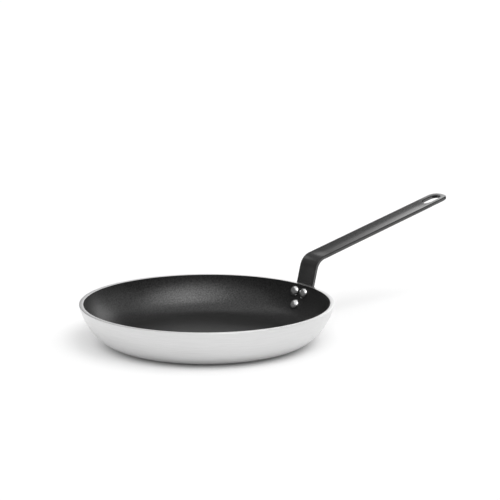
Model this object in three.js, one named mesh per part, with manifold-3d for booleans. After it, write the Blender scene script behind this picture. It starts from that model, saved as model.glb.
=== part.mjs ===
// A frying pan: a thick aluminium body lined with a non-stick coating, and a handle bent from steel strip
// and held by three rivets. Millimetres, +Z up. The origin is the middle of the flat underside, and the
// handle runs out along +X.
import * as THREE from "three";
import { mergeVertices } from "three/addons/utils/BufferGeometryUtils.js";
import Module from "manifold-3d";

const { PI, acos, asin, atan2, cos, hypot, sin, sqrt, tan } = Math;
const { clamp, degToRad, lerp, smoothstep } = THREE.MathUtils;

const wasm = await Module();
wasm.setup();

// The body
const RIM_RADIUS = 140;
const PAN_HEIGHT = 43.7;
const WALL_REACH = 45.6; // from the edge of the flat base out to the rim
const CORNER_RADIUS = 40.3; // outside of the corner between the base and the wall
const CORNER_TURN = degToRad(47.6); // how far the corner turns up before the wall's own sweep
const BODY_WALL = 4.4;
const COATING = 0.3;

// The handle's strip
const ROOT_WIDTH = 27.2;
const TIP_WIDTH = 25.8;
const STRIP_THICKNESS = 3.8;
const STRIP_EDGE = 0.5; // bevel along the strip's edges
const LEAVE_DROP = 2.3; // below the rim, where the strip leaves the wall and goes straight up
const ROOT_TAIL = 10; // strip below the lower rivet
const ROOT_CORNER = 8;
const BEND_RISE = 29.5; // from the rim up to where the root's and the grip's lines cross
const BEND_RADIUS = 17.5; // the bend's upper face
const GRIP_SLOPE = degToRad(13.64);
const GRIP_LENGTH = 213.1; // from that crossing to the tip
const TIP_CORNER = 11.4;
const TROUGH_DEPTH = 1.6; // how far the middle of the grip lies below its lips
const TROUGH_FOLD = 3.5; // how round the trough's bottom is, between two flat flanks
const TROUGH_RUN_IN = 24; // from the middle of the bend
const TIP_TROUGH = 0.6; // depth of the trough at the tip
const SLOT_LENGTH = 24.3;
const SLOT_WIDTH = 13.2;
const SLOT_MARGIN = 6; // strip left between the slot and the tip

// The rivets
const RIVET_PITCH = 15.6; // between the two upper rivets
const UPPER_RIVET_DROP = 8.7; // below the rim, on the inside of the wall
const LOWER_RIVET_DROP = 21.7;
const SHANK_RADIUS = 3;
const HEAD_RADIUS = 6.1;
const HEAD_HEIGHT = 3.6;
const TAIL_RADIUS = 4.8;
const TAIL_HEIGHT = 2.4;

// Clearances
const BOND_GAP = 0.05; // between the body and its coating
const HOLE_GAP = 0.3; // round a shank in its hole
const SEAT_GAP = 0.3; // between the wall and the strip, and under a rivet's tail
const HEAD_GAP = 0.4; // between the coating and a rivet's head

// Facets
const TURN_STEPS = 72;
const CORNER_STEPS = 5;
const SWEEP_STEPS = 4;
const BEND_STEPS = 6;
const ACROSS_STEPS = 8;
const RIVET_STEPS = 20;
const DOME_STEPS = 4;
const END_STEPS = 5;
const TROUGH_STEPS = 4;
const SLOT_STEPS = 8;
const WELD_DISTANCE = 1e-4;

// The outside of the wall is two arcs that meet smoothly: the corner, which starts level at the edge of the
// flat base, and the sweep, which ends at the rim.
const baseRadius = RIM_RADIUS - WALL_REACH;
const cornerTop = {
  r: baseRadius + CORNER_RADIUS * sin(CORNER_TURN),
  z: CORNER_RADIUS * (1 - cos(CORNER_TURN)),
};
const sweepRun = RIM_RADIUS - cornerTop.r;
const sweepRise = PAN_HEIGHT - cornerTop.z;
const rimTurn = 2 * atan2(sweepRise, sweepRun) - CORNER_TURN;
const sweepRadius = hypot(sweepRun, sweepRise) / (2 * sin((rimTurn - CORNER_TURN) / 2));
const corner = { r: baseRadius, z: CORNER_RADIUS, radius: CORNER_RADIUS };
const sweep = {
  r: cornerTop.r - sweepRadius * sin(CORNER_TURN),
  z: cornerTop.z + sweepRadius * cos(CORNER_TURN),
  radius: sweepRadius,
};
const coatedWall = BODY_WALL + BOND_GAP;
const linedWall = coatedWall + COATING;

// A point on an arc of the wall, offset outwards, with its outward direction.
function arcPoint(arc, turn, out) {
  const radius = arc.radius + out;
  return {
    r: arc.r + radius * sin(turn),
    z: arc.z - radius * cos(turn),
    outR: sin(turn),
    outZ: -cos(turn),
  };
}

// How far the wall has turned where its surface, offset outwards, is at a height.
function wallTurnAt(height, out) {
  const cornerHeight = arcPoint(corner, CORNER_TURN, out).z;
  const arc = height > cornerHeight ? sweep : corner;
  return acos((arc.z - height) / (arc.radius + out));
}

// The profile of one surface of the wall, from the edge of the flat base up to the rim's plane.
function wallProfile(out) {
  const points = [];
  for (let i = 0; i <= CORNER_STEPS; i += 1) {
    const point = arcPoint(corner, (CORNER_TURN * i) / CORNER_STEPS, out);
    points.push(new THREE.Vector2(point.r, point.z));
  }
  const topTurn = wallTurnAt(PAN_HEIGHT, out);
  for (let i = 1; i <= SWEEP_STEPS; i += 1) {
    const point = arcPoint(sweep, lerp(CORNER_TURN, topTurn, i / SWEEP_STEPS), out);
    points.push(new THREE.Vector2(point.r, point.z));
  }
  return points;
}

// A solid of revolution about +Z between two surfaces of the wall, the outer one first.
function shellGeometry(outerOut, innerOut) {
  const outer = wallProfile(outerOut);
  const inner = wallProfile(innerOut).reverse();
  const start = new THREE.Vector2(0, outer[0].y);
  const end = new THREE.Vector2(0, inner.at(-1).y);
  return latheAboutZ([start, ...outer, ...inner, end], TURN_STEPS);
}

function latheAboutZ(points, steps) {
  return new THREE.LatheGeometry(points, steps).rotateX(PI / 2);
}

// A closed solid from a geometry, with its shared vertices merged and its collapsed triangles dropped.
function solidFrom(geometry) {
  const bare = geometry.clone();
  bare.deleteAttribute("normal");
  bare.deleteAttribute("uv");
  const merged = mergeVertices(bare, WELD_DISTANCE);
  const triangles = [];
  for (let i = 0; i < merged.index.count; i += 3) {
    const [a, b, c] = [0, 1, 2].map((step) => merged.index.getX(i + step));
    if (a !== b && b !== c && c !== a) {
      triangles.push(a, b, c);
    }
  }
  const vertProperties = new Float32Array(merged.attributes.position.array);
  const triVerts = new Uint32Array(triangles);
  return new wasm.Manifold(new wasm.Mesh({ numProp: 3, vertProperties, triVerts }));
}

function geometryFrom(solid) {
  const mesh = solid.getMesh();
  const geometry = new THREE.BufferGeometry();
  geometry.setAttribute("position", new THREE.BufferAttribute(new Float32Array(mesh.vertProperties), 3));
  geometry.setIndex(new THREE.BufferAttribute(new Uint32Array(mesh.triVerts), 1));
  return geometry;
}

function cut(geometry, cutters) {
  let solid = solidFrom(geometry);
  for (const cutter of cutters) {
    solid = solid.subtract(solidFrom(cutter));
  }
  return geometryFrom(solid);
}

// A rivet's seat is on the lined inside of the wall, with its own +Z pointing out through the wall.
function rivetSeat(name, drop, across) {
  const turn = wallTurnAt(PAN_HEIGHT - drop, -linedWall);
  const point = arcPoint(sweepOrCorner(turn), turn, -linedWall);
  const azimuth = new THREE.Group();
  azimuth.rotation.z = asin(across / point.r);
  const seat = new THREE.Group();
  seat.position.set(point.r, 0, point.z);
  seat.rotation.y = PI - turn;
  azimuth.add(seat);
  azimuth.updateMatrixWorld(true);
  return { name, azimuth, seat, turn };
}

function sweepOrCorner(turn) {
  return turn > CORNER_TURN ? sweep : corner;
}

const rivetSeats = [
  rivetSeat("rivet_upper_left", UPPER_RIVET_DROP, RIVET_PITCH / 2),
  rivetSeat("rivet_upper_right", UPPER_RIVET_DROP, -RIVET_PITCH / 2),
  rivetSeat("rivet_lower", LOWER_RIVET_DROP, 0),
];

// The holes that the shanks pass through, long enough for the wall and the strip together.
const gripOfRivet = linedWall + SEAT_GAP + STRIP_THICKNESS + SEAT_GAP;
const rivetHoles = rivetSeats.map(({ seat }) => {
  const radius = SHANK_RADIUS + HOLE_GAP;
  const hole = new THREE.CylinderGeometry(radius, radius, 3 * gripOfRivet, RIVET_STEPS);
  return hole.rotateX(PI / 2).applyMatrix4(seat.matrixWorld);
});

// A rivet: a domed head inside the pan, a shank, and a flatter formed tail behind the strip.
function rivetGeometry() {
  const headSag = HEAD_RADIUS ** 2 / (2 * (sweepRadius - linedWall));
  const points = [];
  for (let i = 0; i <= DOME_STEPS; i += 1) {
    const angle = (PI / 2) * (i / DOME_STEPS);
    points.push(domePoint(HEAD_RADIUS, -HEAD_HEIGHT, -HEAD_GAP - headSag, angle));
  }
  points.push(new THREE.Vector2(SHANK_RADIUS, -HEAD_GAP));
  points.push(new THREE.Vector2(SHANK_RADIUS, gripOfRivet));
  for (let i = DOME_STEPS; i >= 0; i -= 1) {
    const angle = (PI / 2) * (i / DOME_STEPS);
    points.push(domePoint(TAIL_RADIUS, gripOfRivet + TAIL_HEIGHT, gripOfRivet, angle));
  }
  return latheAboutZ(points, RIVET_STEPS);
}

// A point on a dome's quarter ellipse: angle 0 is its top, on the axis, and a right angle is its foot.
function domePoint(radius, top, foot, angle) {
  return new THREE.Vector2(radius * sin(angle), lerp(foot, top, cos(angle)));
}

// The handle's line lies in the plane y = 0: up the outside of the wall, straight on past the rim, round the
// bend and along the grip. A piece of it has a length, and gives the middle of the strip's upper or pan-side
// face at a distance along it, with the heading there, counted up from +X.
function wallPiece(arc, from, to) {
  const radius = arc.radius + SEAT_GAP;
  const at = (distance) => {
    const turn = from + distance / radius;
    const { r, z } = arcPoint(arc, turn, SEAT_GAP);
    return { r, z, heading: turn, wrap: wrapAt(r, turn) };
  };
  return { length: (to - from) * radius, at };
}

function straightPiece(start, length) {
  const at = (distance) => ({
    ...start,
    r: start.r + distance * cos(start.heading),
    z: start.z + distance * sin(start.heading),
  });
  return { length, at };
}

function bendPiece(start, endHeading) {
  const centreR = start.r + BEND_RADIUS * sin(start.heading);
  const centreZ = start.z - BEND_RADIUS * cos(start.heading);
  const at = (distance) => {
    const heading = start.heading - distance / BEND_RADIUS;
    const r = centreR - BEND_RADIUS * sin(heading);
    const z = centreZ + BEND_RADIUS * cos(heading);
    return { ...start, r, z, heading };
  };
  return { length: (start.heading - endHeading) * BEND_RADIUS, at };
}

// How far the strip's edges wrap round the wall, ahead of its middle.
function wrapAt(r, turn) {
  return ((ROOT_WIDTH / 2) ** 2 * sin(turn)) / (2 * r);
}

// The wall's turn at a length of strip below another turn.
function turnBelow(turn, length) {
  const sweepLength = (turn - CORNER_TURN) * (sweepRadius + SEAT_GAP);
  if (length < sweepLength) {
    return turn - length / (sweepRadius + SEAT_GAP);
  }
  return CORNER_TURN - (length - sweepLength) / (CORNER_RADIUS + SEAT_GAP);
}

function wallPieces(from, to) {
  if (from >= CORNER_TURN) {
    return [wallPiece(sweep, from, to)];
  }
  return [wallPiece(corner, from, CORNER_TURN), wallPiece(sweep, CORNER_TURN, to)];
}

const endOf = (piece) => piece.at(piece.length);
const lengthOf = (pieces) => pieces.reduce((sum, piece) => sum + piece.length, 0);

const lowerRivetTurn = rivetSeats.at(-1).turn;
const leaveTurn = wallTurnAt(PAN_HEIGHT - LEAVE_DROP, 0);
const bendTangent = BEND_RADIUS * tan((leaveTurn - GRIP_SLOPE) / 2);
const onWall = wallPieces(turnBelow(lowerRivetTurn, ROOT_TAIL), leaveTurn);
const leave = endOf(onWall.at(-1));
const crossing = (PAN_HEIGHT + BEND_RISE - leave.z) / sin(leaveTurn);
const upright = straightPiece(leave, crossing - bendTangent);
const bend = bendPiece(endOf(upright), GRIP_SLOPE);
const grip = straightPiece(endOf(bend), GRIP_LENGTH - bendTangent);
const path = [...onWall, upright, bend, grip];

const leaveDistance = lengthOf(onWall);
const bendStart = leaveDistance + upright.length;
const bendMiddle = bendStart + bend.length / 2;
const bendEnd = bendStart + bend.length;
const tipDistance = bendEnd + grip.length;
const slotMiddle = tipDistance - SLOT_MARGIN - SLOT_LENGTH / 2;

function pathAt(distance) {
  let left = distance;
  for (const piece of path.slice(0, -1)) {
    if (left <= piece.length) {
      return piece.at(left);
    }
    left -= piece.length;
  }
  return path.at(-1).at(left);
}

// The strip's hollow: it wraps the wall at the root, and is folded to a trough along the grip. Its depth is
// counted between the middle and the edges, and its fold is the radius at the bottom.
function hollowAt(distance, wrap) {
  const folded = smoothstep(distance, bendMiddle, bendMiddle + TROUGH_RUN_IN);
  const ended = smoothstep(distance, slotMiddle - SLOT_LENGTH, slotMiddle);
  const wallRadius = (ROOT_WIDTH / 2) ** 2 / (2 * wrap);
  return {
    depth: lerp(lerp(wrap, TROUGH_DEPTH, folded), TIP_TROUGH, ended),
    fold: lerp(wallRadius, TROUGH_FOLD, folded),
  };
}

// Half the strip's full width, which tapers along the grip.
function taperAt(distance) {
  const share = clamp((distance - bendEnd) / (tipDistance - bendEnd), 0, 1);
  return lerp(ROOT_WIDTH, TIP_WIDTH, share) / 2;
}

// Half the strip's width, drawn in round the corners of its two ends.
function halfWidthAt(distance) {
  const roundOff = (fromEnd, radius) => {
    const inside = Math.max(radius - fromEnd, 0);
    return radius - sqrt(radius ** 2 - inside ** 2);
  };
  const cornered = roundOff(distance, ROOT_CORNER) + roundOff(tipDistance - distance, TIP_CORNER);
  return taperAt(distance) - cornered;
}

function evenSteps(from, to, count) {
  return Array.from({ length: count + 1 }, (_, i) => lerp(from, to, i / count));
}

function roundEnd(radius) {
  return evenSteps(0, PI / 2, END_STEPS).map((angle) => radius * (1 - cos(angle)));
}

// Where the strip's sections stand along it, with doubles left out.
function sectionDistances() {
  const distances = [
    ...roundEnd(ROOT_CORNER),
    ...evenSteps(ROOT_CORNER, leaveDistance, SWEEP_STEPS),
    ...evenSteps(bendStart, bendEnd, BEND_STEPS),
    ...evenSteps(bendEnd, bendMiddle + TROUGH_RUN_IN, TROUGH_STEPS),
    ...evenSteps(slotMiddle - SLOT_LENGTH, slotMiddle, TROUGH_STEPS),
    ...roundEnd(TIP_CORNER).map((fromTip) => tipDistance - fromTip),
  ];
  const closest = 0.05;
  distances.sort((a, b) => a - b);
  return distances.filter((distance, i) => i === 0 || distance - distances[i - 1] > closest);
}

// One section of the strip: its upper chain from edge to edge, then its lower chain back again.
function sectionPoints(distance) {
  const { r, z, heading, wrap } = pathAt(distance);
  const hollow = hollowAt(distance, wrap);
  const halfWidth = halfWidthAt(distance);
  const steepness = hollow.depth / (hypot(hollow.fold, taperAt(distance)) - hollow.fold);
  const point = (across, depth) => {
    const reach = hypot(hollow.fold, across);
    const slope = (steepness * across) / reach;
    const steep = hypot(1, slope);
    const up = wrap - hollow.depth + steepness * (reach - hollow.fold) - depth / steep;
    return [r - up * sin(heading), across + (depth * slope) / steep, z + up * cos(heading)];
  };
  const inner = halfWidth - STRIP_EDGE;
  const acrosses = evenSteps(-inner, inner, ACROSS_STEPS);
  const chain = (faceDepth, sideDepth) => [
    point(-halfWidth, sideDepth),
    ...acrosses.map((across) => point(across, faceDepth)),
    point(halfWidth, sideDepth),
  ];
  const upper = chain(0, STRIP_EDGE);
  const lower = chain(STRIP_THICKNESS, STRIP_THICKNESS - STRIP_EDGE);
  return [...upper, ...lower.reverse()];
}

function stripGeometry() {
  const sections = sectionDistances().map(sectionPoints);
  const ring = sections[0].length;
  const last = (sections.length - 1) * ring;
  const index = [];
  for (let row = 0; row < last; row += ring) {
    for (let i = 0; i < ring; i += 1) {
      const next = (i + 1) % ring;
      index.push(row + i, row + ring + i, row + next, row + next, row + ring + i, row + ring + next);
    }
  }
  for (let i = 0; i < ring / 2 - 1; i += 1) {
    const [a, b, c, d] = [i, i + 1, ring - 2 - i, ring - 1 - i];
    index.push(a, b, c, a, c, d);
    index.push(last + a, last + c, last + b, last + a, last + d, last + c);
  }
  const geometry = new THREE.BufferGeometry();
  geometry.setAttribute("position", new THREE.Float32BufferAttribute(sections.flat(2), 3));
  geometry.setIndex(index);
  return geometry;
}

// The hanging slot, square through the grip.
function slotGeometry() {
  const radius = SLOT_WIDTH / 2;
  const straight = SLOT_LENGTH / 2 - radius;
  const outline = new THREE.Shape();
  outline.absarc(straight, 0, radius, -PI / 2, PI / 2);
  outline.absarc(-straight, 0, radius, PI / 2, (3 * PI) / 2);
  const depth = 6 * STRIP_THICKNESS;
  const slot = new THREE.ExtrudeGeometry(outline, { depth, bevelEnabled: false, curveSegments: SLOT_STEPS });
  const { r, z } = pathAt(slotMiddle);
  return slot.translate(0, 0, -depth / 2).rotateY(-GRIP_SLOPE).translate(r, 0, z);
}

const bareAluminium = new THREE.MeshStandardMaterial({ color: 0xd3d4d6, roughness: 0.38, metalness: 1 });
const nonStick = new THREE.MeshStandardMaterial({ color: 0x262627, roughness: 0.5, metalness: 0 });
const blackSteel = new THREE.MeshStandardMaterial({ color: 0x2a2a2c, roughness: 0.42, metalness: 0.2 });
const brightAluminium = new THREE.MeshStandardMaterial({ color: 0xe2e2e2, roughness: 0.2, metalness: 1 });

function part(name, geometry, material) {
  const mesh = new THREE.Mesh(geometry, material);
  mesh.name = name;
  return mesh;
}

const pan = new THREE.Group();
pan.name = "frying_pan";
pan.add(part("pan_body", cut(shellGeometry(0, -BODY_WALL), rivetHoles), bareAluminium));
pan.add(part("nonstick_coating", cut(shellGeometry(-coatedWall, -linedWall), rivetHoles), nonStick));
pan.add(part("handle", cut(stripGeometry(), [...rivetHoles, slotGeometry()]), blackSteel));
for (const { name, azimuth, seat } of rivetSeats) {
  seat.add(part(name, rivetGeometry(), brightAluminium));
  pan.add(azimuth);
}

export default pan;
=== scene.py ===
"""A non-stick frying pan with a riveted strip handle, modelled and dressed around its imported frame.

Every piece is drawn in millimetres and made in metres, in the frame's own axes: the origin is the middle of
the flat underside, +Z is up, and the handle runs out along +X.
"""

import logging
import math
from collections.abc import Callable, Iterable
from dataclasses import dataclass, field
from enum import Enum

import bpy
from mathutils import Matrix, Vector


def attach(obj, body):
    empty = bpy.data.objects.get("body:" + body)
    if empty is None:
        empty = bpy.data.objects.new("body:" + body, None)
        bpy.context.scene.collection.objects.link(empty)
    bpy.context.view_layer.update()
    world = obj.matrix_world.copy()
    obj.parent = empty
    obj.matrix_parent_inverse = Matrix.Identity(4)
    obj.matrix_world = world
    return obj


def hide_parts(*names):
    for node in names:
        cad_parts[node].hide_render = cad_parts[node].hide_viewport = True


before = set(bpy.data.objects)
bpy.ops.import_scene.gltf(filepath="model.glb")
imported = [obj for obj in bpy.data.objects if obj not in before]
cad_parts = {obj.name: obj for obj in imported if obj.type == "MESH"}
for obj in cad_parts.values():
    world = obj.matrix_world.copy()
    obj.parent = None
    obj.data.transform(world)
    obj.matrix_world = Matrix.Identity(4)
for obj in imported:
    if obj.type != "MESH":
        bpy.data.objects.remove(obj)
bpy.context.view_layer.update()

log = logging.getLogger("frying_pan")

MM = 0.001  # one millimetre, in metres
BODY = "root"  # the one rigid body that every piece rides on
WELD = 0.002 * MM  # vertices closer than this are the same vertex
SMOOTH_ANGLE = math.radians(32)  # edges sharper than this stay crisp
SQUARE_ANGLE = math.radians(60)  # edges sharper than this are a blank's square edges
ROUND_BEVEL = 0.5  # the bevel's shape that is part of a circle
NOISE_MIDDLE = (0.3, 0.7)  # where a noise mostly lies
QUARTER_TURN = 0.25

Point = tuple[float, float]
Span = tuple[float, float]  # the two ends of a range
Place = tuple[float, float, float]
Socket = bpy.types.NodeSocket


class Slot(Enum):
    """The record's material slots."""

    BODY = "bare_aluminium"
    COATING = "nonstick_coating"
    HANDLE = "black_steel"
    RIVET = "rivet_metal"


class Curve(Enum):
    """How a value goes from one end of a range to the other."""

    STRAIGHT = "LINEAR"
    EASED = "SMOOTHSTEP"


def smooth_step(value: float, low: float, high: float) -> float:
    """Eases from 0 at low to 1 at high.

    Args:
        value: Where to read the step.
        low: Where it starts to rise.
        high: Where it is full.

    Returns:
        The eased share, from 0 to 1.
    """
    share = min(max((value - low) / (high - low), 0.0), 1.0)
    return share * share * (3 - 2 * share)


def blend(start: float, end: float, share: float) -> float:
    """A value at a share of the way from start to end."""
    return start + (end - start) * share


def even_steps(start: float, end: float, count: int) -> list[float]:
    """Evenly spaced values from start to end, with both ends."""
    return [blend(start, end, step / count) for step in range(count + 1)]


def arc(centre: Point, radius: float, start: float, end: float, steps: int) -> list[Point]:
    """Points on a circular arc.

    Args:
        centre: The arc's centre.
        radius: Its radius.
        start: Angle of the first point, counted from the first axis towards the second.
        end: Angle of the last point.
        steps: Number of straight pieces.

    Returns:
        The points, in order.
    """
    across, up = centre
    angles = even_steps(start, end, steps)
    return [(across + radius * math.cos(angle), up + radius * math.sin(angle)) for angle in angles]


# Modelling by operators


def start_piece(name: str) -> bpy.types.Object:
    """Adds a new mesh that is a single vertex at the origin, left selected in edit mode.

    Args:
        name: Name of the object and of its mesh.

    Returns:
        The new object.
    """
    bpy.ops.object.select_all(action="DESELECT")
    bpy.ops.mesh.primitive_plane_add(size=MM)
    piece = bpy.context.object
    piece.name = name
    piece.data.name = name
    bpy.ops.object.mode_set(mode="EDIT")
    bpy.ops.mesh.select_mode(type="VERT")
    bpy.ops.mesh.select_all(action="SELECT")
    bpy.ops.mesh.merge(type="CENTER")
    return piece


def draw_line(points: Iterable[Vector]) -> None:
    """Moves the one selected vertex to the first point and extrudes it from point to point.

    Args:
        points: Places in millimetres.
    """
    here = Vector((0, 0, 0))
    for number, point in enumerate(points):
        step = {"value": (point - here) * MM}
        if number == 0:
            bpy.ops.transform.translate(**step)
        else:
            bpy.ops.mesh.extrude_region_move(TRANSFORM_OT_translate=step)
        here = point


def close_mesh() -> None:
    """Welds the mesh in edit mode, turns its faces outwards and goes back to object mode."""
    bpy.ops.mesh.select_all(action="SELECT")
    bpy.ops.mesh.remove_doubles(threshold=WELD)
    bpy.ops.mesh.normals_make_consistent(inside=False)
    bpy.ops.object.mode_set(mode="OBJECT")


def turn_piece(name: str, profile: list[Point], steps: int) -> bpy.types.Object:
    """Turns a half section about +Z, as on a lathe.

    Args:
        name: Name of the piece.
        profile: Radius and height of each point, from the axis round to the axis again.
        steps: Faces around the axis.

    Returns:
        The closed piece.
    """
    piece = start_piece(name)
    draw_line(Vector((radius, 0, height)) for radius, height in profile)
    bpy.ops.mesh.select_all(action="SELECT")
    bpy.ops.mesh.spin(steps=steps, angle=math.tau, center=(0, 0, 0), axis=(0, 0, 1))
    close_mesh()
    return piece


def cut_plate(name: str, outline: list[Point], top: float, bottom: float) -> bpy.types.Object:
    """Makes a flat plate from a closed outline in the XY plane.

    Args:
        name: Name of the plate.
        outline: Its corners, in order.
        top: Height of its upper face.
        bottom: Height of its lower face.

    Returns:
        The plate, as a closed mesh.
    """
    plate = start_piece(name)
    draw_line(Vector((along, across, top)) for along, across in outline)
    bpy.ops.mesh.select_all(action="SELECT")
    bpy.ops.mesh.edge_face_add()
    drop = {"value": (0, 0, (bottom - top) * MM)}
    bpy.ops.mesh.extrude_region_move(TRANSFORM_OT_translate=drop)
    close_mesh()
    return plate


def cut_away(piece: bpy.types.Object, cutters: Iterable[bpy.types.Object]) -> None:
    """Cuts other meshes out of a piece and removes them.

    Args:
        piece: The mesh that is cut.
        cutters: Closed meshes of what is taken away.
    """
    for cutter in list(cutters):
        choose(piece)
        modifier = piece.modifiers.new("cut", "BOOLEAN")
        modifier.operation = "DIFFERENCE"
        modifier.solver = "EXACT"
        modifier.object = cutter
        bpy.ops.object.modifier_apply(modifier=modifier.name)
        bpy.data.objects.remove(cutter)


def choose(piece: bpy.types.Object) -> None:
    """Makes a piece the only one selected, and the active one.

    Args:
        piece: The piece that the next operators act on.
    """
    bpy.ops.object.select_all(action="DESELECT")
    piece.select_set(True)
    bpy.context.view_layer.objects.active = piece


def place(piece: bpy.types.Object, matrix: Matrix) -> None:
    """Moves a piece and puts its place into its mesh.

    Args:
        piece: The piece that is moved.
        matrix: Where it goes, in metres.
    """
    choose(piece)
    piece.matrix_world = matrix
    bpy.ops.object.transform_apply(location=True, rotation=True, scale=True)


def smooth(piece: bpy.types.Object) -> None:
    """Shades a piece smooth, apart from its crisp edges."""
    choose(piece)
    bpy.ops.object.shade_smooth_by_angle(angle=SMOOTH_ANGLE)


def dress(piece: bpy.types.Object, material: bpy.types.Material, node: str, slot: Slot) -> None:
    """Gives a finished piece its material and its place in the frame.

    Args:
        piece: The finished mesh.
        material: Its finish.
        node: The frame's node that it stands for.
        slot: The record's material slot.
    """
    piece.data.materials.clear()
    piece.data.materials.append(material)
    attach(piece, BODY)
    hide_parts(node)
    log.info("%s: %d vertices, %s", piece.name, len(piece.data.vertices), slot.value)


# The pan's wall


@dataclass(frozen=True)
class SideArc:
    """An arc of the pan's side view, in the plane of radius and height."""

    centre: Point
    radius: float  # below zero where the arc bends down

    def point(self, turn: float, out: float) -> Point:
        """A point of the arc.

        Args:
            turn: How far the arc has turned up from level.
            out: Distance outside the arc.

        Returns:
            Its radius and height.
        """
        reach = self.radius + out
        return self.centre[0] + reach * math.sin(turn), self.centre[1] - reach * math.cos(turn)

    def points(self, start: float, end: float, out: float, steps: int) -> list[Point]:
        """Points from one turn to another."""
        return [self.point(turn, out) for turn in even_steps(start, end, steps)]


@dataclass
class Wall:
    """The line of the pan's wall: a flat base, a round corner and an outward sweep up to the rim."""

    rim_radius: float = 140.0
    height: float = 43.7
    reach: float = 45.6  # from the edge of the flat base out to the rim
    corner_radius: float = 40.3
    corner_turn: float = math.radians(47.6)
    metal: float = 4.4
    bond: float = 0.05  # between the metal and its coating
    coating: float = 0.3
    corner_steps: int = 16
    sweep_steps: int = 16
    corner: SideArc = field(init=False)
    sweep: SideArc = field(init=False)

    def __post_init__(self) -> None:
        """Works out the two arcs, which meet smoothly."""
        base = self.rim_radius - self.reach
        self.corner = SideArc((base, self.corner_radius), self.corner_radius)
        top_radius, top_height = self.corner.point(self.corner_turn, 0)
        run = self.rim_radius - top_radius
        rise = self.height - top_height
        bend = 2 * (math.atan2(rise, run) - self.corner_turn)
        radius = math.hypot(run, rise) / (2 * math.sin(bend / 2))
        middle = (
            top_radius - radius * math.sin(self.corner_turn),
            top_height + radius * math.cos(self.corner_turn),
        )
        self.sweep = SideArc(middle, radius)

    @property
    def lined(self) -> float:
        """Thickness of the metal and its coating together."""
        return self.metal + self.bond + self.coating

    def arc_at(self, turn: float) -> SideArc:
        """The arc that holds a turn."""
        return self.sweep if turn > self.corner_turn else self.corner

    def turn_at(self, height: float, out: float) -> float:
        """How far the wall has turned where a face of it is at a height.

        Args:
            height: Height above the underside.
            out: Distance of that face outside the wall's outer face.

        Returns:
            The turn, as an angle.
        """
        seam = self.corner.point(self.corner_turn, out)[1]
        part = self.sweep if height > seam else self.corner
        return math.acos((part.centre[1] - height) / (part.radius + out))

    def face(self, out: float, top: float) -> list[Point]:
        """One face of the wall, from the edge of the base up to a height.

        Args:
            out: Distance of the face outside the wall's outer face.
            top: Height where it ends.

        Returns:
            Its points, from the bottom up.
        """
        lower = self.corner.points(0, self.corner_turn, out, self.corner_steps)
        upper = self.sweep.points(self.corner_turn, self.turn_at(top, out), out, self.sweep_steps)
        return lower + upper[1:]


# Finishes


class NodeSheet:
    """A node tree with short calls for adding and joining its nodes."""

    def __init__(self, tree: bpy.types.NodeTree) -> None:
        """Takes the tree that the calls work on."""
        self.tree = tree

    def add(
        self, kind: str, inputs: dict[str | int, object] | None = None, **settings: object
    ) -> bpy.types.Node:
        """Adds a node.

        Args:
            kind: Blender's type name of the node.
            inputs: What each of its sockets is fed with, by name or number.
            settings: Properties of the node.

        Returns:
            The new node.
        """
        node = self.tree.nodes.new(kind)
        for name, value in settings.items():
            setattr(node, name, value)
        for socket, source in (inputs or {}).items():
            self.feed(node, socket, source)
        return node

    def feed(self, node: bpy.types.Node, socket: str | int, source: object) -> None:
        """Joins another node's output to a socket, or sets the socket's own value.

        Args:
            node: The node that is fed.
            socket: Name or number of its input.
            source: An output socket, or a plain value.
        """
        if isinstance(source, Socket):
            self.tree.links.new(source, node.inputs[socket])
        else:
            node.inputs[socket].default_value = source

    def math(self, operation: str, *values: object) -> Socket:
        """A sum of output sockets or plain numbers, under Blender's name for it."""
        return self.add("ShaderNodeMath", dict(enumerate(values)), operation=operation).outputs[0]

    def split(self, vector: Socket) -> list[Socket]:
        """The three parts of a vector."""
        return list(self.add("ShaderNodeSeparateXYZ", {0: vector}).outputs)

    def join(self, *parts: object) -> Socket:
        """A vector from its three parts."""
        return self.add("ShaderNodeCombineXYZ", dict(enumerate(parts))).outputs[0]

    def ramp(self, value: object, start: Span, end: Span, curve: Curve = Curve.STRAIGHT) -> Socket:
        """Turns one range of values into another, and holds it at its ends.

        Args:
            value: What is turned.
            start: Its low and high end.
            end: What the two ends become.
            curve: How it goes from end to end.

        Returns:
            The value in its new range.
        """
        sockets = ("From Min", "From Max", "To Min", "To Max", "Value")
        inputs = dict(zip(sockets, (*start, *end, value)))
        return self.add("ShaderNodeMapRange", inputs, interpolation_type=curve.value).outputs[0]

    def ease(self, value: Socket, ends: Span) -> Socket:
        """Adds an eased step.

        Args:
            value: What the step reads.
            ends: Where it is 0 and where it is 1, in either order.

        Returns:
            The step's output.
        """
        rising = ends[0] < ends[1]
        low, high = sorted(ends)
        return self.ramp(value, (low, high), (0, 1) if rising else (1, 0), Curve.EASED)


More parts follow.
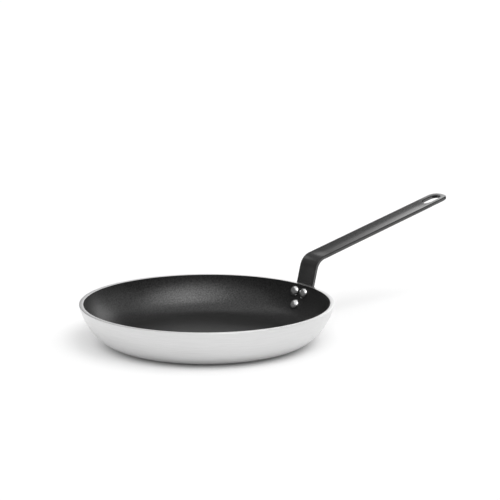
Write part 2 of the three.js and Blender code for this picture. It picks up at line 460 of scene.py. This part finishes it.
class ShaderSheet(NodeSheet):
    """A new material with one Principled shader."""

    def __init__(self, name: str) -> None:
        """Starts the material.

        Args:
            name: Its name.
        """
        self.material = bpy.data.materials.new(name)
        self.material.use_nodes = True
        super().__init__(self.material.node_tree)
        self.shader = self.tree.nodes["Principled BSDF"]

    def set(self, **values: object) -> None:
        """Feeds sockets of the shader, with underscores for the spaces in their names."""
        for name, value in values.items():
            self.feed(self.shader, name.replace("_", " "), value)

    def place_on_piece(self) -> Socket:
        """The point's place on the piece, in metres."""
        return self.add("ShaderNodeTexCoord").outputs["Object"]

    def normal_on_piece(self) -> Socket:
        """The way that the piece's surface faces at the point."""
        return self.add("ShaderNodeTexCoord").outputs["Normal"]

    def noise(self, vector: Socket, size: float, layers: float, keep: float = 0.5) -> Socket:
        """Adds smooth random cells.

        Args:
            vector: Where the pattern is read.
            size: Size of a cell, in the vector's units.
            layers: Number of finer layers.
            keep: Strength of each finer layer.

        Returns:
            A value about 0.5.
        """
        inputs = {"Vector": vector, "Scale": 1 / size, "Detail": layers, "Roughness": keep}
        return self.add("ShaderNodeTexNoise", inputs).outputs[0]

    def stray(self, noise: Socket, middle: float, reach: float) -> Socket:
        """Lets a value stray to both sides of its middle with a noise."""
        return self.ramp(noise, NOISE_MIDDLE, (middle - reach, middle + reach))

    def grey(self, lightness: Socket) -> Socket:
        """A neutral colour of a given lightness."""
        return self.add("ShaderNodeCombineColor", dict.fromkeys(range(3), lightness)).outputs[0]

    def bump(self, height: Socket, depth: float) -> Socket:
        """Fine relief on the surface, with the depth of its full step in millimetres."""
        return self.add("ShaderNodeBump", {"Distance": depth * MM, "Height": height}).outputs[0]


@dataclass(frozen=True)
class BrushedAluminium:
    """Bare aluminium with fine brush lines that run round the pan, and a machined rim whose top is painted
    lighter as a painted highlight.
    """

    lightness: float = 0.72
    patch: float = 0.034  # how far the lightness strays
    roughness: float = 0.33
    roughness_stray: float = 0.05
    line_length: float = 30.0  # millimetres round the wall
    line_width: float = 1.4
    line_layers: float = 6.0  # finer and finer lines
    line_keep: float = 0.62  # strength of each finer layer
    line_depth: float = 0.008
    across_lines: float = 0.7  # how much wider the gloss spreads across the lines than along them
    rim_depth: float = 0.5  # how far down the machined rim goes
    # lightness of the machined rim's top: its own bare finish plus a painted highlight where it faces the
    # light
    rim_painted_highlight_lightness: float = 0.82

    def material(self, wall: Wall) -> bpy.types.Material:
        """Builds the finish.

        Args:
            wall: The pan's wall, which sets the length of the lines and the height of the rim.

        Returns:
            The material.
        """
        sheet = ShaderSheet("brushed_aluminium")
        across, deep, height = sheet.split(sheet.place_on_piece())
        squares = [sheet.math("MULTIPLY", part, part) for part in (across, deep)]
        radius = sheet.math("MAXIMUM", sheet.math("SQRT", sheet.math("ADD", *squares)), MM)
        turns = wall.rim_radius / self.line_length
        unit = [sheet.math("DIVIDE", part, radius) for part in (across, deep)]
        along = [sheet.math("MULTIPLY", part, turns) for part in unit]
        over = sheet.math("DIVIDE", sheet.math("ADD", radius, height), self.line_width * MM)
        lines = sheet.noise(sheet.join(*along, over), 1.0, self.line_layers, self.line_keep)
        lightness = sheet.stray(lines, self.lightness, self.patch)
        # The machined rim is unbrushed; its top is also painted lighter than the wall, as a painted
        # highlight.
        machined = sheet.math("GREATER_THAN", height, (wall.height - self.rim_depth) * MM)
        painted_light_lift = sheet.math("MULTIPLY", machined, self.rim_painted_highlight_lightness - self.lightness)
        brushed = sheet.math("SUBTRACT", 1.0, machined)
        round_pan = sheet.join(sheet.math("MULTIPLY", deep, -1.0), across, 0.0)
        sheet.set(
            Base_Color=sheet.grey(sheet.math("ADD", lightness, painted_light_lift)),
            Roughness=sheet.stray(lines, self.roughness, self.roughness_stray),
            Metallic=1.0,
            Anisotropic=sheet.math("MULTIPLY", brushed, self.across_lines),
            Anisotropic_Rotation=QUARTER_TURN,
            Tangent=round_pan,
            Normal=sheet.bump(lines, self.line_depth),
        )
        return sheet.material


@dataclass(frozen=True)
class NonStick:
    """A dark sprayed coating with a fine pebbled grain."""

    lightness: float = 0.009
    lightness_stray: float = 0.003
    roughness: float = 0.34
    roughness_stray: float = 0.05
    ior: float = 1.5
    grain: float = 1.6  # size of a pebble in millimetres
    grain_layers: float = 3.0
    grain_keep: float = 0.6  # strength of each finer layer
    grain_depth: float = 0.05
    speck: float = 0.64  # size of the finest specks
    speck_layers: float = 1.0
    gloss: float = 0.5
    gloss_stray: float = 0.22  # from pebble to pebble

    def material(self) -> bpy.types.Material:
        """Builds the finish.

        Returns:
            The material.
        """
        sheet = ShaderSheet("nonstick")
        place_on_piece = sheet.place_on_piece()
        pebbles = sheet.noise(place_on_piece, self.grain * MM, self.grain_layers, self.grain_keep)
        specks = sheet.noise(place_on_piece, self.speck * MM, self.speck_layers)
        sheet.set(
            Base_Color=sheet.grey(sheet.stray(specks, self.lightness, self.lightness_stray)),
            Roughness=sheet.stray(pebbles, self.roughness, self.roughness_stray),
            IOR=self.ior,
            Specular_IOR_Level=sheet.stray(pebbles, self.gloss, self.gloss_stray),
            Normal=sheet.bump(pebbles, self.grain_depth),
        )
        return sheet.material


@dataclass(frozen=True)
class BlackSteel:
    """Satin black steel strip with a faint orange-peel skin, and edge faces painted lighter as painted
    light.
    """

    lightness: float = 0.024
    lightness_stray: float = 0.004
    # lightness painted on the edge faces, standing in for the light they catch
    edge_painted_lightness: float = 0.075
    edge_turn: Span = (0.93, 0.985)  # where the edge face, which is painted lighter, starts and is full, in the normal's Y
    lip_turn: Span = (0.25, 0.4)  # the same for the dull rounding between a face and an edge
    lip_gloss: float = 0.05
    lip_roughness: float = 0.7
    face_gloss: float = 0.5
    roughness: float = 0.28
    roughness_stray: float = 0.04
    ior: float = 1.65
    skin: float = 2.2  # size of the skin's waves in millimetres
    skin_layers: float = 2.0
    skin_depth: float = 0.002
    speck: float = 0.35  # size of the finest specks
    speck_layers: float = 1.0

    def material(self) -> bpy.types.Material:
        """Builds the finish.

        Returns:
            The material.
        """
        sheet = ShaderSheet("black_steel")
        place_on_piece = sheet.place_on_piece()
        waves = sheet.noise(place_on_piece, self.skin * MM, self.skin_layers)
        specks = sheet.noise(place_on_piece, self.speck * MM, self.speck_layers)
        sideways = sheet.math("ABSOLUTE", sheet.split(sheet.normal_on_piece())[1])
        edge_face_share = sheet.ramp(sideways, self.edge_turn, (0, 1))
        rounded = sheet.math("SUBTRACT", sheet.ramp(sideways, self.lip_turn, (0, 1)), edge_face_share)
        # The edge faces are painted lighter than the faces: painted light.
        painted_light_lift = sheet.math("MULTIPLY", edge_face_share, self.edge_painted_lightness - self.lightness)
        lightness = sheet.stray(specks, self.lightness, self.lightness_stray)
        rougher = sheet.math("MULTIPLY", rounded, self.lip_roughness - self.roughness)
        roughness = sheet.stray(specks, self.roughness, self.roughness_stray)
        sheet.set(
            Base_Color=sheet.grey(sheet.math("ADD", lightness, painted_light_lift)),
            Specular_IOR_Level=sheet.ramp(rounded, (0, 1), (self.face_gloss, self.lip_gloss)),
            Roughness=sheet.math("ADD", roughness, rougher),
            IOR=self.ior,
            Normal=sheet.bump(waves, self.skin_depth),
        )
        return sheet.material


@dataclass(frozen=True)
class RivetMetal:
    """Bright rivet metal with fine tumbling marks."""

    lightness: float = 0.7
    patch: float = 0.04
    roughness: float = 0.2
    roughness_stray: float = 0.05
    mark: float = 0.5  # size of a mark in millimetres
    mark_layers: float = 3.0
    mark_keep: float = 0.6  # strength of each finer layer
    mark_depth: float = 0.003

    def material(self) -> bpy.types.Material:
        """Builds the finish.

        Returns:
            The material.
        """
        sheet = ShaderSheet("rivet_metal")
        marks = sheet.noise(sheet.place_on_piece(), self.mark * MM, self.mark_layers, self.mark_keep)
        sheet.set(
            Base_Color=sheet.grey(sheet.stray(marks, self.lightness, self.patch)),
            Roughness=sheet.stray(marks, self.roughness, self.roughness_stray),
            Metallic=1.0,
            Normal=sheet.bump(marks, self.mark_depth),
        )
        return sheet.material


# The rivets


@dataclass
class RivetPlace:
    """Where one rivet goes through the lined wall."""

    name: str
    drop: float  # below the rim, on the inside of the wall
    across: float  # to the side of the handle's middle

    def turn(self, wall: Wall) -> float:
        """The wall's turn at the rivet."""
        return wall.turn_at(wall.height - self.drop, -wall.lined)

    def matrix(self, wall: Wall) -> Matrix:
        """The rivet's seat on the lining, with its own +Z pointing out through the wall.

        Args:
            wall: The wall's line.

        Returns:
            The placing matrix, in metres.
        """
        turn = self.turn(wall)
        radius, height = wall.arc_at(turn).point(turn, -wall.lined)
        swing = Matrix.Rotation(math.asin(self.across / radius), 4, "Z")
        move = Matrix.Translation(Vector((radius, 0, height)) * MM)
        return swing @ move @ Matrix.Rotation(math.pi - turn, 4, "Y")


@dataclass
class RivetSet:
    """Three rivets with domed heads inside the pan and flatter formed tails behind the handle."""

    wall: Wall
    strip: float  # thickness of the handle's strip
    seat_gap: float  # on each side of the strip
    pitch: float = 15.6  # between the two upper rivets
    upper_drop: float = 8.7  # below the rim, on the inside of the wall
    lower_drop: float = 21.7
    shank_radius: float = 3.0
    head_radius: float = 6.1
    head_height: float = 3.4
    head_gap: float = 0.1  # between the head's rim and the lining
    tail_radius: float = 4.8
    tail_height: float = 2.4
    hole_gap: float = 0.3
    drill_grips: float = 4.0  # length of the drill, in lengths of the shank
    turn_steps: int = 64
    dome_steps: int = 16

    @property
    def places(self) -> list[RivetPlace]:
        """The three rivets' places, with the lower one last."""
        return [
            RivetPlace("rivet_upper_left", self.upper_drop, self.pitch / 2),
            RivetPlace("rivet_upper_right", self.upper_drop, -self.pitch / 2),
            RivetPlace("rivet_lower", self.lower_drop, 0),
        ]

    @property
    def grip(self) -> float:
        """Length of shank between the head's seat and the tail."""
        return self.wall.lined + 2 * self.seat_gap + self.strip

    def dome(self, radius: float, top: float, foot: float) -> list[Point]:
        """A dome's quarter ellipse, from its top on the axis to its foot.

        Args:
            radius: Radius of its foot.
            top: Where its top lies along the rivet.
            foot: Where its foot lies.

        Returns:
            Its points.
        """
        angles = even_steps(0, math.pi / 2, self.dome_steps)
        return [(radius * math.sin(angle), blend(foot, top, math.cos(angle))) for angle in angles]

    def profile(self) -> list[Point]:
        """The rivet's half section.

        Returns:
            Its points, from the head's top to the tail's top.
        """
        sag = self.head_radius**2 / (2 * (self.wall.sweep.radius - self.wall.lined))
        head = self.dome(self.head_radius, -self.head_height, -self.head_gap - sag)
        tail = self.dome(self.tail_radius, self.grip + self.tail_height, self.grip)
        shank = [(self.shank_radius, -self.head_gap), (self.shank_radius, self.grip)]
        return head + shank + tail[::-1]

    def build(self) -> dict[str, bpy.types.Object]:
        """Models one rivet and sets a copy of it in each place.

        Returns:
            The rivets, each under the name of its node in the frame.
        """
        first = turn_piece("rivet", self.profile(), self.turn_steps)
        smooth(first)
        rivets = {}
        for spot in self.places:
            rivet = first.copy()
            rivet.data = first.data.copy()
            rivet.name = f"{spot.name}_piece"
            rivet.data.name = rivet.name
            bpy.context.scene.collection.objects.link(rivet)
            place(rivet, spot.matrix(self.wall))
            rivets[spot.name] = rivet
        bpy.data.objects.remove(first)
        return rivets

    def drills(self) -> list[bpy.types.Object]:
        """Makes round cutters for the three holes.

        Returns:
            One cutter for each rivet.
        """
        cutters = []
        for spot in self.places:
            bpy.ops.object.select_all(action="DESELECT")
            bpy.ops.mesh.primitive_cylinder_add(
                vertices=self.turn_steps,
                radius=(self.shank_radius + self.hole_gap) * MM,
                depth=self.drill_grips * self.grip * MM,
            )
            drill = bpy.context.object
            place(drill, spot.matrix(self.wall))
            cutters.append(drill)
        return cutters


# The body and its lining


@dataclass
class Shell:
    """A shell turned between two faces of the wall and drilled for the rivets."""

    wall: Wall
    rim_edge: float  # radius of its two edges at the rim
    edge_steps: int = 4
    floor_rings: int = 12
    turn_steps: int = 192

    def profile(self, outer: float, inner: float) -> list[Point]:
        """The shell's half section.

        Args:
            outer: Where its outer face lies, as a distance outside the wall's own.
            inner: Where its inner face lies.

        Returns:
            The section, from the axis out along the underside and back along the inside.
        """
        edge = self.rim_edge
        shoulder = self.wall.height - edge
        outside = self.wall.face(outer, shoulder)
        inside = self.wall.face(inner, shoulder)
        inside.reverse()
        rim_out = arc((outside[-1][0] - edge, shoulder), edge, 0, math.pi / 2, self.edge_steps)
        rim_in = arc((inside[0][0] + edge, shoulder), edge, math.pi / 2, math.pi, self.edge_steps)
        rings = even_steps(0, outside[0][0], self.floor_rings)[:-1]
        underside = [(radius, outside[0][1]) for radius in rings]
        floor = [(radius, inside[-1][1]) for radius in reversed(rings)]
        return underside + outside + rim_out[1:] + rim_in + inside[1:] + floor

    def make(self, name: str, outer: float, inner: float, rivets: RivetSet) -> bpy.types.Object:
        """Turns the shell and drills it.

        Args:
            name: Name of the piece.
            outer: Where its outer face lies, as a distance outside the wall's own.
            inner: Where its inner face lies.
            rivets: The rivets that go through it.

        Returns:
            The finished mesh.
        """
        shell = turn_piece(name, self.profile(outer, inner), self.turn_steps)
        cut_away(shell, rivets.drills())
        smooth(shell)
        return shell


@dataclass
class PanBody(Shell):
    """The thick aluminium body with its machined rim."""

    rim_edge: float = 0.25

    def build(self, rivets: RivetSet) -> bpy.types.Object:
        """Makes the body, as thick as the metal."""
        return self.make("aluminium_body", 0, -self.wall.metal, rivets)


@dataclass
class Lining(Shell):
    """The non-stick coating that lines the body from rim to rim."""

    rim_edge: float = 0.12

    def build(self, rivets: RivetSet) -> bpy.types.Object:
        """Makes the thin lining, which lies on the metal's inner face."""
        return self.make("nonstick_lining", -self.wall.metal - self.wall.bond, -self.wall.lined, rivets)


# The handle


@dataclass(frozen=True)
class Station:
    """A place along the handle's line, in the plane y = 0."""

    radius: float
    height: float
    heading: float  # counted up from +X
    wrap: float  # how far the strip's edges lie ahead of its middle, round the wall


Stretch = tuple[float, Callable[[float], Station]]


@dataclass
class StripHandle:
    """A handle cut from flat strip, hollowed along the grip and bent up from the wall."""

    wall: Wall
    root_width: float = 27.2
    tip_width: float = 25.8
    thickness: float = 3.8
    edge: float = 0.8  # radius of its long edges
    seat_gap: float = 0.3  # between the strip and the wall
    leave_drop: float = 2.3  # below the rim, where the strip leaves the wall
    root_tail: float = 10.0  # from the lower rivet to the root's end
    root_corner: float = 8.0
    bend_rise: float = 29.5  # above the rim, where the upright and the grip would cross
    bend_radius: float = 17.5
    grip_slope: float = math.radians(13.64)
    grip_length: float = 213.1  # from that crossing
    tip_corner: float = 11.4
    trough: float = 1.6
    trough_fold: float = 3.5  # how round the trough's bottom is, between two flat flanks
    trough_run_in: float = 24.0  # from the middle of the bend
    tip_trough: float = 0.6
    slot_length: float = 24.3
    slot_width: float = 13.2
    slot_margin: float = 6.0  # from the slot to the grip's end
    corner_steps: int = 20
    edge_steps: int = 4
    columns: int = 16
    fine_row: float = 1.3  # length of a face where the strip bends
    coarse_row: float = 4.0  # the same along the straight grip
    stretches: list[Stretch] = field(init=False, default_factory=list)
    bend_start: float = field(init=False, default=0.0)  # along the line, as are the next two
    bend_end: float = field(init=False, default=0.0)
    slot_middle: float = field(init=False, default=0.0)

    def lay_line(self, lower_turn: float) -> None:
        """Lays out the handle's line: up the wall, straight on, round the bend and along the grip.

        Args:
            lower_turn: The wall's turn at the lower rivet.
        """
        wall = self.wall
        leave_turn = wall.turn_at(wall.height - self.leave_drop, 0)
        seam = (lower_turn - wall.corner_turn) * (wall.sweep.radius + self.seat_gap)
        start = wall.corner_turn - (self.root_tail - seam) / (wall.corner.radius + self.seat_gap)
        self.stretches = [
            self.on_wall(wall.corner, start, wall.corner_turn),
            self.on_wall(wall.sweep, wall.corner_turn, leave_turn),
        ]
        leave = self.station(self.length)
        tangent = self.bend_radius * math.tan((leave_turn - self.grip_slope) / 2)
        crossing = (wall.height + self.bend_rise - leave.height) / math.sin(leave_turn)
        self.stretches.append(self.straight(leave, crossing - tangent))
        self.bend_start = self.length
        self.stretches.append(self.bend(self.station(self.length)))
        self.bend_end = self.length
        self.stretches.append(self.straight(self.station(self.length), self.grip_length - tangent))
        self.slot_middle = self.length - self.slot_margin - self.slot_length / 2

    @property
    def length(self) -> float:
        """Length of the line laid so far."""
        return sum(length for length, _ in self.stretches)

    def on_wall(self, part: SideArc, start: float, end: float) -> Stretch:
        """A stretch that lies against the wall.

        Args:
            part: The arc of the wall.
            start: The wall's turn where the stretch starts.
            end: The turn where it ends.

        Returns:
            Its length, and its station at a distance.
        """
        reach = part.radius + self.seat_gap

        def station(distance: float) -> Station:
            """The station at a distance.

            Args:
                distance: Distance along the stretch.

            Returns:
                The station there.
            """
            turn = start + distance / reach
            radius, height = part.point(turn, self.seat_gap)
            return Station(radius, height, turn, (self.root_width / 2) ** 2 * math.sin(turn) / (2 * radius))

        return (end - start) * reach, station

    def straight(self, start: Station, length: float) -> Stretch:
        """A straight stretch.

        Args:
            start: The station that it goes on from.
            length: How long it is.

        Returns:
            Its length, and its station at a distance.
        """

        def station(distance: float) -> Station:
            """The station at a distance along the stretch."""
            along, up = distance * math.cos(start.heading), distance * math.sin(start.heading)
            return Station(start.radius + along, start.height + up, start.heading, start.wrap)

        return length, station

    def bend(self, start: Station) -> Stretch:
        """The round bend down to the grip's slope.

        Args:
            start: The station where it starts.

        Returns:
            Its length, and its station at a distance.
        """
        out, down = self.bend_radius * math.sin(start.heading), self.bend_radius * math.cos(start.heading)
        over = SideArc((start.radius + out, start.height - down), -self.bend_radius)

        def station(distance: float) -> Station:
            """The station at a distance along the stretch."""
            heading = start.heading - distance / self.bend_radius
            return Station(*over.point(heading, 0), heading, start.wrap)

        return (start.heading - self.grip_slope) * self.bend_radius, station

    def station(self, distance: float) -> Station:
        """Finds a station.

        Args:
            distance: Distance from the root end.

        Returns:
            The station there.
        """
        left = distance
        for length, part in self.stretches[:-1]:
            if left <= length:
                return part(left)
            left -= length
        return self.stretches[-1][1](left)

    def hollow_at(self, distance: float, wrap: float) -> tuple[float, float]:
        """The strip's hollow, which wraps the wall at the root and is a folded trough along the grip.

        Args:
            distance: Distance from the root end.
            wrap: How far the strip's edges lie ahead of its middle, round the wall.

        Returns:
            Its depth between the middle and the edges, and the radius of its fold.
        """
        middle = (self.bend_start + self.bend_end) / 2
        folded = smooth_step(distance, middle, middle + self.trough_run_in)
        ended = smooth_step(distance, self.slot_middle - self.slot_length, self.slot_middle)
        wall_radius = (self.root_width / 2) ** 2 / (2 * wrap)
        depth = blend(blend(wrap, self.trough, folded), self.tip_trough, ended)
        return depth, blend(wall_radius, self.trough_fold, folded)

    def half_width(self, distance: float) -> float:
        """Half the strip's width, which tapers along the grip."""
        share = (distance - self.bend_end) / (self.length - self.bend_end)
        return blend(self.root_width, self.tip_width, min(max(share, 0.0), 1.0)) / 2

    def press(self, along: float, across: float, depth: float) -> Vector:
        """Where a point of the flat blank lies on the finished handle.

        Args:
            along: Distance from the root end.
            across: Distance to the side of the middle.
            depth: Distance below the upper face.

        Returns:
            The place, in millimetres.
        """
        here = self.station(along)
        hollow, fold = self.hollow_at(along, here.wrap)
        steepness = hollow / (math.hypot(fold, self.half_width(along)) - fold)
        reach = math.hypot(fold, across)
        slope = steepness * across / reach
        steep = math.hypot(1, slope)
        rise = here.wrap - hollow + steepness * (reach - fold) - depth / steep
        return Vector((
            here.radius - rise * math.sin(here.heading),
            across + depth * slope / steep,
            here.height + rise * math.cos(here.heading),
        ))

    def outline(self) -> list[Point]:
        """The flat blank's outline.

        Returns:
            Its points, with rounded corners.
        """
        right = math.pi / 2
        tip = (self.length - self.tip_corner, self.tip_width / 2 - self.tip_corner)
        root = (self.root_corner, self.root_width / 2 - self.root_corner)
        shoulder = (self.bend_end, self.root_width / 2)
        side = arc(tip, self.tip_corner, 0, right, self.corner_steps) + [shoulder]
        side += arc(root, self.root_corner, right, 2 * right, self.corner_steps)
        return side + [(along, -across) for along, across in reversed(side)]

    def slot_outline(self) -> list[Point]:
        """The hanging slot's outline.

        Returns:
            Its points: two half circles joined by straight sides.
        """
        radius = self.slot_width / 2
        straight = self.slot_length / 2 - radius
        steps = 2 * self.corner_steps
        far = arc((self.slot_middle + straight, 0), radius, -math.pi / 2, math.pi / 2, steps)
        near = arc((self.slot_middle - straight, 0), radius, math.pi / 2, 3 * math.pi / 2, steps)
        return far + near

    def row_places(self) -> list[float]:
        """Where the blank is cut across.

        Returns:
            Distances from the root end, closer together where it bends.
        """
        places = []
        along = self.fine_row
        while along < self.length - self.fine_row:
            places.append(along)
            on_grip = self.bend_end + self.trough_run_in < along < self.slot_middle - self.slot_length
            along += self.coarse_row if on_grip else self.fine_row
        return places

    def build(self, rivets: RivetSet) -> bpy.types.Object:
        """Cuts the blank, rounds its edges and presses it to shape.

        Args:
            rivets: The rivets that hold it.

        Returns:
            The finished mesh.
        """
        self.lay_line(rivets.places[-1].turn(self.wall))
        blank = cut_plate("strip_handle", self.outline(), 0, -self.thickness)
        slot = cut_plate("slot", self.slot_outline(), self.thickness, -2 * self.thickness)
        cut_away(blank, [slot])
        self.round_edges(blank)
        self.divide(blank)
        for vertex in blank.data.vertices:
            along, across, up = vertex.co / MM
            vertex.co = self.press(along, across, -up) * MM
        cut_away(blank, rivets.drills())
        smooth(blank)
        return blank

    def round_edges(self, blank: bpy.types.Object) -> None:
        """Rounds the blank's upper and lower edges, round the outside and round the slot.

        Args:
            blank: The flat blank.
        """
        choose(blank)
        bpy.ops.object.mode_set(mode="EDIT")
        bpy.ops.mesh.select_mode(type="EDGE")
        bpy.ops.mesh.select_all(action="DESELECT")
        bpy.ops.mesh.edges_select_sharp(sharpness=SQUARE_ANGLE)
        bpy.ops.mesh.bevel(
            offset=self.edge * MM, segments=self.edge_steps, profile=ROUND_BEVEL, affect="EDGES"
        )
        bpy.ops.object.mode_set(mode="OBJECT")

    def divide(self, blank: bpy.types.Object) -> None:
        """Cuts the flat blank into small faces, so that it can be pressed smoothly.

        Args:
            blank: The flat blank.
        """
        choose(blank)
        bpy.ops.object.mode_set(mode="EDIT")
        half = self.root_width / 2
        cuts = [((place, 0), (1, 0)) for place in self.row_places()]
        cuts += [((0, place), (0, 1)) for place in even_steps(-half, half, self.columns)[1:-1]]
        for (along, across), (ahead, aside) in cuts:
            bpy.ops.mesh.select_all(action="SELECT")
            bpy.ops.mesh.bisect(plane_co=(along * MM, across * MM, 0), plane_no=(ahead, aside, 0))
        bpy.ops.object.mode_set(mode="OBJECT")


# The studio


def stand(name: str, data: bpy.types.ID) -> bpy.types.Object:
    """Stands a lamp or a camera in the scene.

    Args:
        name: Name of the object.
        data: The lamp or the camera.

    Returns:
        The new object.
    """
    thing = bpy.data.objects.new(name, data)
    bpy.context.scene.collection.objects.link(thing)
    return thing


@dataclass(frozen=True)
class SoftLight:
    """A broad soft light far away, with its angles in degrees."""

    name: str
    side: float  # to the right of the camera's heading
    height: float  # above level
    strength: float  # how much light it gives a face turned to it
    spread: float  # how wide it looks from the pan


@dataclass
class Studio:
    """A pale floor, soft light and the camera, in metres."""

    floor_size: float = 40.0
    floor_gap: float = 0.0003
    floor_lightness: float = 0.57
    floor_glow: float = 0.395  # what the eye sees on top of the light that falls on the floor; near the pan it is dimmed into a painted shadow
    painted_shadow_reach: float = 0.1  # how far away the pan still darkens the floor's glow, as a painted shadow
    painted_shadow_end: float = 0.35  # share of open sky where the painted shadow ends and the glow is full
    camera_place: Place = (-1.2958, -1.6986, 0.5577)
    camera_tilt: float = math.radians(77.953)
    camera_turn: float = math.radians(-38.609)
    lens: float = 144.0  # in millimetres, as is the sensor
    sensor: float = 36.0
    view_reach: float = 100.0
    lights: tuple[SoftLight, ...] = (
        SoftLight("key_softbox_1", 129, 57, 0.84, 42),
        SoftLight("key_softbox_2", 168, 57, 0.89, 42),
        SoftLight("key_softbox_3", 75, 35, 0.22, 42),
        SoftLight("top_softbox", 180, 78, 1.35, 92),
        SoftLight("side_softbox", -56, 47, 0.06, 16),
    )
    room_level: float = 0.155
    room_side: float = math.radians(24)  # of the pale wall's middle, to the right of the camera's heading
    wall_heights: Span = (math.radians(36), math.radians(25))  # where the wall behind ends and is full
    pale_gain: float = 0.2  # the pale part of the wall behind the pan
    pale_facing: Span = (0.25, 0.8)  # where it starts and is full, as the cosine from its middle
    bright_gain: float = 0.8  # the bright part, in the middle of the pale one
    bright_facing: Span = (0.865, 0.91)
    panel_place: Place = (0.47, 0.28, 0.235)
    panel_target: Place = (0.274, 0.0, 0.1)
    panel_size: Span = (0.4, 0.19)
    panel_power: float = 0.37
    panel_fade: Span = (0.75, 0.1)  # where along the panel its light starts and is full

    def ahead(self, side: float, height: float) -> Vector:
        """Finds a direction.

        Args:
            side: Angle to the right of the camera's heading.
            height: Angle above level.

        Returns:
            The direction, of length 1.
        """
        heading = math.pi / 2 + self.camera_turn - side
        level = math.cos(height)
        return Vector((level * math.cos(heading), level * math.sin(heading), math.sin(height)))

    def build(self) -> None:
        """Sets up the whole studio."""
        self.make_floor()
        for light in self.lights:
            self.hang_light(light)
        self.stand_panel()
        self.make_room()
        self.make_camera()
        bpy.context.scene.view_settings.view_transform = "Standard"

    def make_floor(self) -> None:
        """Lays the pale floor, whose glow carries a painted shadow near the pan."""
        bpy.ops.object.select_all(action="DESELECT")
        bpy.ops.mesh.primitive_plane_add(size=self.floor_size, location=(0, 0, -self.floor_gap))
        floor = bpy.context.object
        floor.name = "floor"
        sheet = ShaderSheet("pale_floor")
        rays = sheet.add("ShaderNodeLightPath").outputs
        seen = sheet.math("MAXIMUM", rays["Is Camera Ray"], rays["Is Glossy Ray"])
        seen = sheet.math("MAXIMUM", seen, rays["Is Transmission Ray"])
        pale = [self.floor_lightness] * 3 + [1.0]
        sheet.set(Base_Color=pale, Roughness=1.0, Specular_IOR_Level=0.0, Emission_Color=(1, 1, 1, 1))
        # The glow fades where the pan hems in the sky: a painted shadow on top of the lamps' real one.
        open_sky = sheet.add("ShaderNodeAmbientOcclusion", {"Distance": self.painted_shadow_reach}).outputs["AO"]
        glow = sheet.ramp(open_sky, (0, self.painted_shadow_end), (0, self.floor_glow))
        sheet.set(Emission_Strength=sheet.math("MULTIPLY", seen, glow))
        floor.data.materials.append(sheet.material)

    def hang_light(self, light: SoftLight) -> None:
        """Hangs one of the soft lights.

        Args:
            light: Its place, strength and spread.
        """
        lamp = bpy.data.lights.new(light.name, "SUN")
        lamp.energy = light.strength
        lamp.angle = math.radians(light.spread)
        towards = self.ahead(math.radians(light.side), math.radians(light.height))
        stand(light.name, lamp).rotation_euler = towards.to_track_quat("Z", "Y").to_euler()

    def stand_panel(self) -> None:
        """Stands a panel behind the grip, whose light grows towards the grip's end."""
        lamp = bpy.data.lights.new("grip_panel", "AREA")
        lamp.shape = "RECTANGLE"
        lamp.size, lamp.size_y = self.panel_size
        lamp.energy = self.panel_power
        lamp.use_nodes = True
        sheet = NodeSheet(lamp.node_tree)
        across = sheet.split(sheet.add("ShaderNodeNewGeometry").outputs["Parametric"])[0]
        sheet.feed(sheet.tree.nodes["Emission"], "Strength", sheet.ease(across, self.panel_fade))
        panel = stand("grip_panel", lamp)
        panel.location = self.panel_place
        away = Vector(self.panel_place) - Vector(self.panel_target)
        panel.rotation_euler = away.to_track_quat("Z", "Y").to_euler()
        panel.visible_camera = False

    def make_room(self) -> None:
        """Lights the room: dim all round, with a pale wall behind the pan that has a bright middle."""
        world = bpy.data.worlds.new("room")
        world.use_nodes = True
        bpy.context.scene.world = world
        sheet = NodeSheet(world.node_tree)
        across, deep, up = sheet.split(sheet.add("ShaderNodeTexCoord").outputs["Generated"])
        middle = self.ahead(self.room_side, 0)
        facing = sheet.math("MULTIPLY_ADD", deep, middle.y, sheet.math("MULTIPLY", across, middle.x))
        steepness = sheet.math("ARCSINE", up)
        facing = sheet.math("DIVIDE", facing, sheet.math("COSINE", steepness))
        bright = sheet.math("MULTIPLY", sheet.ease(facing, self.bright_facing), self.bright_gain)
        pale = sheet.ease(facing, self.pale_facing)
        wall = sheet.math("MULTIPLY_ADD", pale, self.pale_gain, bright)
        low = sheet.ease(steepness, self.wall_heights)
        background = sheet.tree.nodes["Background"]
        sheet.feed(background, "Color", (1, 1, 1, 1))
        sheet.feed(background, "Strength", sheet.math("MULTIPLY_ADD", wall, low, self.room_level))

    def make_camera(self) -> None:
        """Stands the camera at the photograph's place."""
        data = bpy.data.cameras.new("camera")
        data.lens = self.lens
        data.sensor_width = self.sensor
        data.clip_end = self.view_reach
        camera = stand("camera", data)
        camera.location = self.camera_place
        camera.rotation_euler = (self.camera_tilt, 0, self.camera_turn)
        bpy.context.scene.camera = camera


def main() -> None:
    """Builds the pan piece by piece and sets up the studio."""
    logging.basicConfig(level=logging.INFO, format="%(name)s %(message)s")
    Studio().build()
    wall = Wall()
    handle = StripHandle(wall)
    rivets = RivetSet(wall, handle.thickness, handle.seat_gap)
    aluminium = BrushedAluminium().material(wall)
    dress(PanBody(wall).build(rivets), aluminium, "pan_body", Slot.BODY)
    dress(Lining(wall).build(rivets), NonStick().material(), "nonstick_coating", Slot.COATING)
    dress(handle.build(rivets), BlackSteel().material(), "handle", Slot.HANDLE)
    bright = RivetMetal().material()
    for node, rivet in rivets.build().items():
        dress(rivet, bright, node, Slot.RIVET)


if __name__ == "__main__":
    main()
